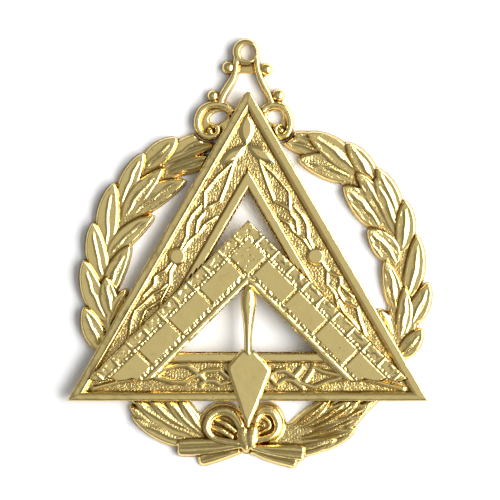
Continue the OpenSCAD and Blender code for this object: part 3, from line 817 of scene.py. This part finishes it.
# The same from the disc down, on the right side and on the left side
RIGHT_STRAPS = [
    [(36.9, 3.9), (39.2, 3.8), (41.2, 2.3), (42.6, 3), (45.7, 2.1)],
    [(39, 4), (41, 5.2), (43.5, 4.8), (45.8, 5.5)],
    [(41.6, 4.7), (43.4, 3.9), (42.6, 3.1)],
    [(43.6, 4.1), (45.9, 4), (48.3, 2.4), (50.4, 3.1), (53.5, 3.7)],
    [(45, 4.9), (47.4, 5.2), (49.5, 4.7), (51.8, 4.3)],
]
LEFT_STRAPS = [
    [(36.9, 3.9), (38.8, 3.6), (41, 2.4), (42.5, 3.1), (45.6, 2.3)],
    [(36.9, 4.6), (38.7, 4.6), (40.9, 5.8), (44.4, 5.9), (46.2, 6.8)],
    [(41.2, 5.2), (42.6, 4.8), (44.2, 3.9), (46.6, 3.2), (48.8, 2.4), (51, 2.8), (53.4, 3.8), (57, 4.6)],
    [(44.4, 5.9), (46.2, 4.9), (47.6, 4.2), (50.6, 4.6), (52.2, 5.6), (54.4, 6.6)],
]
# Straps of the ornament on the base: distance to the right of its middle and up from its edge
BASE_STRAPS = [
    [(-18.4, 5.1), (-16.6, 6.3), (-14, 7.1), (-12.2, 7.2), (-10.6, 6), (-8.7, 4.3)],
    [(-18.4, 4.7), (-15, 3.9), (-12.5, 3.8), (-10.9, 4.7), (-8.6, 5.9), (-5.6, 6.2), (-3.6, 4.6)],
    [(-9.5, 3.3), (-8.1, 4.1), (-6.7, 4.1), (-5.4, 3.3), (-4, 3.8)],
    [(-31, 2.5), (-25.7, 3.9), (-20.5, 4.9), (-18, 5)],
    [(3.4, 5.5), (4.6, 4.5), (5.8, 3.3), (7.6, 4.3), (9, 4.1), (10.9, 2.7)],
    [(3.6, 4.2), (5.6, 5.9), (7.5, 6.1), (9.3, 5), (10.7, 6.6)],
    [(9.6, 4.4), (10.5, 3.7), (13.3, 2.8), (16, 3.9), (18.4, 4.5), (21, 4.8), (25.7, 3.9), (31, 2.5)],
    [(11.5, 4.1), (12.6, 5.7), (13.1, 6.8), (15, 5.9), (18.4, 5.1)],
]
# Run of a strap's slopes as a share of its width: the long one, and the short one that faces the other way
LONG_RUN, SHORT_RUN = 0.48, 0.2
STRAP_HEIGHT = 0.38
# The disc on each side: distance down along it, distance in from it, radius
DISC = (35.2, 4.35, 1.85)
# The three petals under the apex: where each starts and ends, and its width
PETALS = [
    ((-0.1, -12.2), (-0.35, -18.6), 3.1),
    ((-0.3, -18.6), (-5.6, -22.5), 2.5),
    ((-0.2, -18.6), (5.3, -22.1), 2.6),
]


def ornament(x, y, sizes):
    """Height of the raised work on the triangle's ground. Straps on the sides have a long slope on one side
    and a short one on the other, petals and discs are flat with bevelled edges."""
    strap = sizes.strap / MM
    off_middle = np.abs(x - ORNAMENT_MIDDLE)
    drop = APEX_Y - ORNAMENT_DROP - y
    down = off_middle * 0.5 + drop * sqrt(0.75)
    inward = drop * 0.5 - off_middle * sqrt(0.75)
    up = y - BASE_Y
    top = np.zeros(x.shape)
    for straps, u, v, here, short_run, crown in (
        (SIDE_STRAPS, down, inward, True, SHORT_RUN, 1.15),
        (RIGHT_STRAPS, down, inward, x >= 0, SHORT_RUN, 1.15),
        (LEFT_STRAPS, down, inward, x < 0, SHORT_RUN, 1.15),
        (BASE_STRAPS, x, up, True, LONG_RUN, 1.5),
    ):
        for path in map(np.array, straps):
            low, high = path.min(0) - 1, path.max(0) + 1
            near = here & (u > low[0]) & (u < high[0]) & (v > low[1]) & (v < high[1])
            _, side = along(u[near], v[near], path)
            run = np.where(side * x[near] < 0, LONG_RUN, short_run) * strap
            ridge = STRAP_HEIGHT * np.clip(crown * (1 - np.abs(side) / run), 0, 1)
            top[near] = np.maximum(top[near], ridge)
    disc_down, disc_in, radius = DISC
    reach = radius - np.hypot(down - disc_down, inward - disc_in)
    top = np.maximum(top, np.clip(reach, 0, 0.48))
    for start, end, width in PETALS:
        share, side = along(x, y, np.array([start, end]))
        outline = width / 2 * np.sin(pi * share).clip(0) ** 0.8
        top = np.maximum(top, np.clip((outline - np.abs(side)) * 0.55, 0, 0.4))
    return top


def square_foot(v, wide):
    """How far along an arm its scalloped foot ends, at v in from its outer edge."""
    scallops = np.abs(np.sin(pi * v * 3 / wide))
    return (SQUARE_Y - SQUARE_LOW[1]) * sqrt(2) - 1 + 0.75 * scallops - v


def square_reach(x, y, wide):
    """Distance inside the square's outline, negative outside it."""
    v = (SQUARE_Y - y - np.abs(x)) / sqrt(2)
    u = v + np.abs(x) * sqrt(2)
    return np.minimum(np.minimum(v, wide - v), square_foot(v, wide) - u)


def bar_profile(insets, bar, rim_width, bevel, inner, lean):
    """Heights across a bar of the triangle, and marks that paint shade into the thin groove along each of its
    two rims, which the grid is too coarse to shade.
    """
    rim, ground = RIM_Z, GROUND_Z
    lip = bar - INNER_RIM
    profile = [
        (0, rim - 0.5), (0.08, rim - lean - 0.15), (0.2, rim - lean - 0.05), (0.36, rim - lean),
        (rim_width, rim), (rim_width + 0.12, rim - 0.06),
        (rim_width + bevel, ground + 0.02), (rim_width + bevel + 0.12, ground), (lip - inner, ground),
        (lip, rim - 0.12), (bar - 1.9, rim - 0.05), (bar - 0.5, rim - 0.05), (bar - 0.38, rim - 0.14),
        (bar, SEAT_Z + 0.5),
    ]
    # Painted shade: a thin stripe in each rim's groove, fed into the crevice mark.
    painted_groove_shade = bump(insets, rim_width - 0.18, 0.2) + 0.6 * bump(insets, lip - inner, 0.15)
    return np.interp(insets, *zip(*profile)), painted_groove_shade


def round_apex(x, y, cut):
    """Draws the triangle's apex back onto a circle that touches both sides."""
    middle = APEX_Y - 2 * cut
    gap = np.hypot(x, y - middle)
    beyond = (gap > cut) & (y > middle) & (np.abs(x) < (y - middle) * sqrt(3))
    share = np.where(beyond, cut / np.maximum(gap, cut), 1)
    return x * share, middle + (y - middle) * share


class JewelTriangle(bpy.types.Operator):
    """Makes the triangle with its rims, its stippled ground and its straps"""

    bl_idname = "jewel.triangle"
    bl_label = "Triangle"

    def execute(self, context):
        """A profile across the bar, carried round three mitred bars: the point at share s of a bar and
        distance t in lies between the two corners of the triangle drawn in by t."""
        sizes = context.scene.jewel_sizes
        bar = sizes.bar / MM
        rims = sizes.side_rim / MM, sizes.base_rim / MM, sizes.side_rim / MM
        insets = np.concatenate([
            [0, 0.08, 0.2, 0.36, 0.6, 0.9, 1.2], np.arange(1.4, bar - 1.75, 0.122),
            [bar - 1.6, bar - 1.2, bar - 0.8, bar - 0.5, bar - 0.38, bar - 0.2, bar],
        ])
        count = 430
        share = (np.arange(count) / count)[None, :, None]
        sideways = (2 + BASE_SHARE) / sqrt(3)
        inward = np.array([[0, -2], [sideways, BASE_SHARE], [-sideways, BASE_SHARE]])
        sheets = []
        for k, (wider, bevel_share, inner, lean) in enumerate(BARS):
            bevel = sizes.bevel / MM * bevel_share
            heights, painted_groove_shade = bar_profile(insets, bar, rims[k] + wider, bevel, inner, lean)
            start, end = (TRIANGLE[i] + insets[:, None] * inward[i] for i in (k, (k + 1) % 3))
            place = start[:, None] + (end - start)[:, None] * share
            levels = np.stack([heights, painted_groove_shade], -1)[:, None] + 0 * share
            sheets.append(np.concatenate([place, levels], -1))
        x, y, height, painted_groove_shade = np.moveaxis(np.concatenate(sheets, 1), -1, 0)
        raised = ornament(x, y, sizes)
        grain = 1 - step(0.02, 0.12, np.maximum(raised, height - GROUND_Z))
        height = np.maximum(height, GROUND_Z + raised)
        height[2:-6] = soften(height, 0.4)[2:-6]
        height += 0.02 * grain * sand(x, y, GRIT)
        hollow, crevice = hollows(height, 5, 2)
        under = square_reach(x, y, sizes.arm / MM) > -0.15
        height = np.where(under, np.minimum(height, SQUARE_LOW[2] - 0.07), height)
        top = np.stack([*round_apex(x, y, sizes.apex_cut / MM), height], -1)
        points, marks = backed(top, SEAT_Z, (grain, hollow, np.maximum(crevice, painted_groove_shade)))
        mesh_piece(
            "rimmed_triangle", points.reshape(-1, 3), carried(points, True), marks,
            "triangle_gilt", "triangle", (0.19, 0.3, 0.1, 60),
        )
        return {"FINISHED"}


# Square

# Height of the plate under the bricks
PLATE = 1.4
# Length of a brick of the outer course with its joint, and of the main course
OUTER_PITCH = 4.3
MAIN_PITCH = 8.62


def brickwork(u, v, sizes):
    """Height of the square's face above its plate at u along an arm and v in from its outer edge: bricks with
    bevelled edges in two courses, a row of beads between them and one of dentils, and a lip along the inner
    edge."""
    joint, pitch = sizes.joint / MM, sizes.bead / MM
    half_pitch = OUTER_PITCH / 2

    def block(reach, top, slope=0.75):
        return np.clip(reach * slope, 0, top)

    def course(start, each, gap):
        """Distance from the ends of the bricks of a course that starts at a place."""
        place = np.mod(u - start, each)
        return np.minimum(place, each - gap - place)

    corner = np.minimum(np.minimum(u, v) - 2.55, 7.9 - np.maximum(u, v))
    main = np.minimum(np.minimum(v - 2.75, 7.1 - v), course(8.4, MAIN_PITCH, joint))
    main = np.where(u < 8.4, -1, main)
    outer = np.minimum(2 - v, np.where(u < 3.9, 4.1 - u, course(4.6, OUTER_PITCH, 0.4)))
    worn = np.where(outer > 0.1, 0.028, 0) * sand(u, v, 1.2, 7)
    bar = np.mod(u - 4.4 + half_pitch, OUTER_PITCH) - half_pitch
    bar = np.where((u > 3.9) & (v < 2.6), bar, 9)
    stud = np.hypot((np.mod(u - 4.4, OUTER_PITCH) - half_pitch) * 0.5, v - 0.5)
    loose, uneven = u + 0.22 * sand(u, v, 1.8, 5), 0.31 + 0.07 * sand(u, v, 1.2, 6)
    bead = np.hypot((np.mod(loose, pitch * 0.85) - pitch * 0.425) / 0.4, (v - 2.42) / 0.46)
    dentil = np.hypot((np.mod(loose, pitch) - pitch / 2) / 0.46, (v - 7.2) / 0.46)
    lip = np.where(u < 9, np.minimum(u, v), v) - 7.55
    top = np.maximum.reduce([
        block(corner, 0.26, 1.3),
        block(main, 0.26, 1.3),
        np.minimum(block(outer, 0.26, 1.2), 0.31 - 0.09 * v) + worn,
        0.43 * bump(bar, 0, 0.4),
        np.where(u > v, uneven * bump(bead, 0, 1), 0),
        np.where(u > 8, uneven * bump(dentil, 0, 1), 0),
        block(lip, 0.32),
    ])
    top += np.where(u > 4.4, 0.1, 0) * bump(stud, 0, 0.4)
    return top - 0.4 * (1 - np.clip((9 - v) / 0.6, 0, 1)) ** 1.5 - 0.3 * fall(v, 0.22)


class JewelSquare(bpy.types.Operator):
    """Makes the mason's square with its courses of bricks"""

    bl_idname = "jewel.square"
    bl_label = "Mason's square"

    def execute(self, context):
        """A profile across the arm, carried down one arm and up the other: the point at share s of an arm and
        distance v in lies between the mitre at the corner and the scalloped foot."""
        sizes = context.scene.jewel_sizes
        wide = sizes.arm / MM
        back, plate = SQUARE_LOW[2], SQUARE_LOW[2] + PLATE
        v = np.concatenate([[0, 0.06], np.linspace(0.14, wide - 0.14, 86), [wide - 0.06, wide]])[:, None]
        foot = square_foot(v, wide)
        u = v + (foot - v) * np.linspace(0, 1, 430)[None]
        height = plate + brickwork(u, v, sizes) - 0.35 * fall(foot - u, 0.3)
        grain = (1 - step(0, 0.14, height - plate)) * (v < 7.6)
        height = soften(height, 0.6)
        x, y = (u - v) / sqrt(2), SQUARE_Y - (u + v) / sqrt(2)
        x = np.concatenate([-x[:, :0:-1], x], 1)
        y, height, grain = (np.concatenate([a[:, :0:-1], a], 1) for a in (y, height, grain))
        cast = np.where(np.abs(x) + 0.5 < (y - SQUARE_Y) + 12.5, 1, 0.3)
        height = height + (0.004 * cast + 0.025 * grain) * sand(x, y, 0.5) + 0.01 * cast * sand(x, y, 1.3, 2)
        height -= 0.06 * cast * step(1.1, 2, sand(x, y, 0.75, 3))
        hollow, crevice = hollows(height, 5, 2)
        top = np.stack([x, y, height], -1)[::-1]
        points, marks = backed(top, back, (grain[::-1], hollow[::-1], crevice[::-1]))
        mesh_piece(
            "brick_square", points.reshape(-1, 3), carried(points, False), marks,
            "square_gilt", "masons_square", (0.2, 0.35, 0.12, 45),
        )
        return {"FINISHED"}


# Trowel

BLADE = np.array([
    (-1.3, -59.5), (-4.05, -62.7), (-4.05, -63.8), (-1, -73), (-0.15, -75), (0.25, -75),
    (2.1, -70.2), (4.6, -64.1), (4.6, -63.5), (3.5, -62), (1.2, -59.6),
])
# The handle from its end down to the blade: centre line, half widths along it
HANDLE_LINE = [(0.15, -46.9), (0.1, -50), (0.05, -54), (0, -57), (0, -60)]
HANDLE_WIDTHS = [0.7, 1.15, 1.42, 1.44, 1.36, 1.2, 1.05, 0.92, 0.82, 0.76, 0.72, 0.7, 0.7]


class JewelTrowel(bpy.types.Operator):
    """Makes the trowel that lies over the triangle's base"""

    bl_idname = "jewel.trowel"
    bl_label = "Trowel"

    def execute(self, context):
        back = corners("trowel")[0][2]
        bevel = context.scene.jewel_sizes.blade_bevel / MM

        def turned(share, across, reach):
            rounded = np.sqrt(np.clip(1 - across**2, 0, 1))
            return back + 0.3 + 1.1 * rounded * np.clip(0.3 + share * 12, 0, 1) ** 0.5

        relief = Relief.between((-6.5, -77), (7, -45), 0.08, back + 0.3, back)
        reach = inside(relief.x, relief.y, BLADE)
        relief.lay(WHOLE, reach, back + 0.75 + 0.35 * np.clip(reach / bevel, 0, 1))
        relief.band(HANDLE_LINE, HANDLE_WIDTHS, turned)
        mesh_piece(
            "kite_trowel", *relief.mesh(0.05, 0.08),
            "trowel_gilt", "trowel", (0.22, 0.35, 0.12, 80), True,
        )
        return {"FINISHED"}


# Stage

# The floor's half width and how far it lies below the jewel, in metres
FLOOR_HALF, FLOOR_DROP = 1.5, 2e-5
# Distance of the camera, and width of the view at the jewel's middle height, in metres
CAMERA_HEIGHT, VIEW_WIDTH = 0.62, 0.1


def panel_light(name, place, aim, size, power):
    """A soft light of a width and a height that faces a point."""
    light = bpy.data.lights.new(name, "AREA")
    light.shape, light.energy = "RECTANGLE", power
    light.size, light.size_y = size
    placed(name, light, place).rotation_euler = (aim - place).to_track_quat("-Z", "Y").to_euler()


class JewelStage(bpy.types.Operator):
    """Makes the floor, the lights and the camera straight above"""

    bl_idname = "jewel.stage"
    bl_label = "Stage"

    def execute(self, context):
        scene = context.scene
        middle = Vector((0.4 * MM, -39.6 * MM, 0))
        mesh = bpy.data.meshes.new("floor")
        ends = (-1, -1), (1, -1), (1, 1), (-1, 1)
        mesh.from_pydata([(x * FLOOR_HALF, y * FLOOR_HALF, -FLOOR_DROP) for x, y in ends], [], [range(4)])
        tint = (*scene.jewel_colours.floor, 1)
        mesh.materials.append(Sheet("paper").finish({"Base Color": tint, "Roughness": 0.8}))
        floor = placed("floor", mesh)
        world = bpy.data.worlds.new("studio")
        world.use_nodes = True
        sky = world.node_tree.nodes["Background"].inputs
        sky["Color"].default_value = (1, 1, 1, 1)
        sky["Strength"].default_value = 0.26
        scene.world = world
        far_off, turn, rise = 0.95, radians(-4), radians(38)
        place = Vector((cos(rise) * cos(turn), cos(rise) * sin(turn), sin(rise))) * far_off
        panel_light("key", middle + place, middle, (1.45, 0.7), 24.5)
        panel_light("overhead", middle + Vector((-0.08, 0, 1.3)), middle, (1.05, 1.05), 1.15)
        scene.view_settings.view_transform = "Standard"
        camera = bpy.data.cameras.new("camera")
        camera.lens = camera.sensor_width * (CAMERA_HEIGHT - 2.5 * MM) / VIEW_WIDTH
        camera.clip_start = 0.01
        scene.camera = placed("camera", camera, middle + Vector((0, 0, CAMERA_HEIGHT)))
        return {"FINISHED"}


class JewelPanel(bpy.types.Panel):
    """Lists the jewel's pieces, sizes and colours"""

    bl_idname = "VIEW3D_PT_jewel"
    bl_label = "Collar jewel"
    bl_space_type = "VIEW_3D"
    bl_region_type = "UI"
    bl_category = "Jewel"

    def draw(self, context):
        for operator in OPERATORS:
            self.layout.operator(operator.bl_idname)
        for group in (context.scene.jewel_sizes, context.scene.jewel_colours):
            for name in group.__annotations__:
                self.layout.prop(group, name)


OPERATORS = (JewelStage, JewelHanger, JewelWreath, JewelTriangle, JewelSquare, JewelTrowel)
CLASSES = (JewelSizes, JewelColours, *OPERATORS, JewelPanel)


def register():
    for cls in CLASSES:
        bpy.utils.register_class(cls)
    bpy.types.Scene.jewel_sizes = PointerProperty(type=JewelSizes)
    bpy.types.Scene.jewel_colours = PointerProperty(type=JewelColours)


def unregister():
    del bpy.types.Scene.jewel_colours
    del bpy.types.Scene.jewel_sizes
    for cls in reversed(CLASSES):
        bpy.utils.unregister_class(cls)


def main():
    register()
    bpy.ops.jewel.stage()
    bpy.ops.jewel.hanger()
    bpy.ops.jewel.wreath()
    bpy.ops.jewel.triangle()
    bpy.ops.jewel.square()
    bpy.ops.jewel.trowel()
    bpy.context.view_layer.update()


if __name__ == "__main__":
    main()
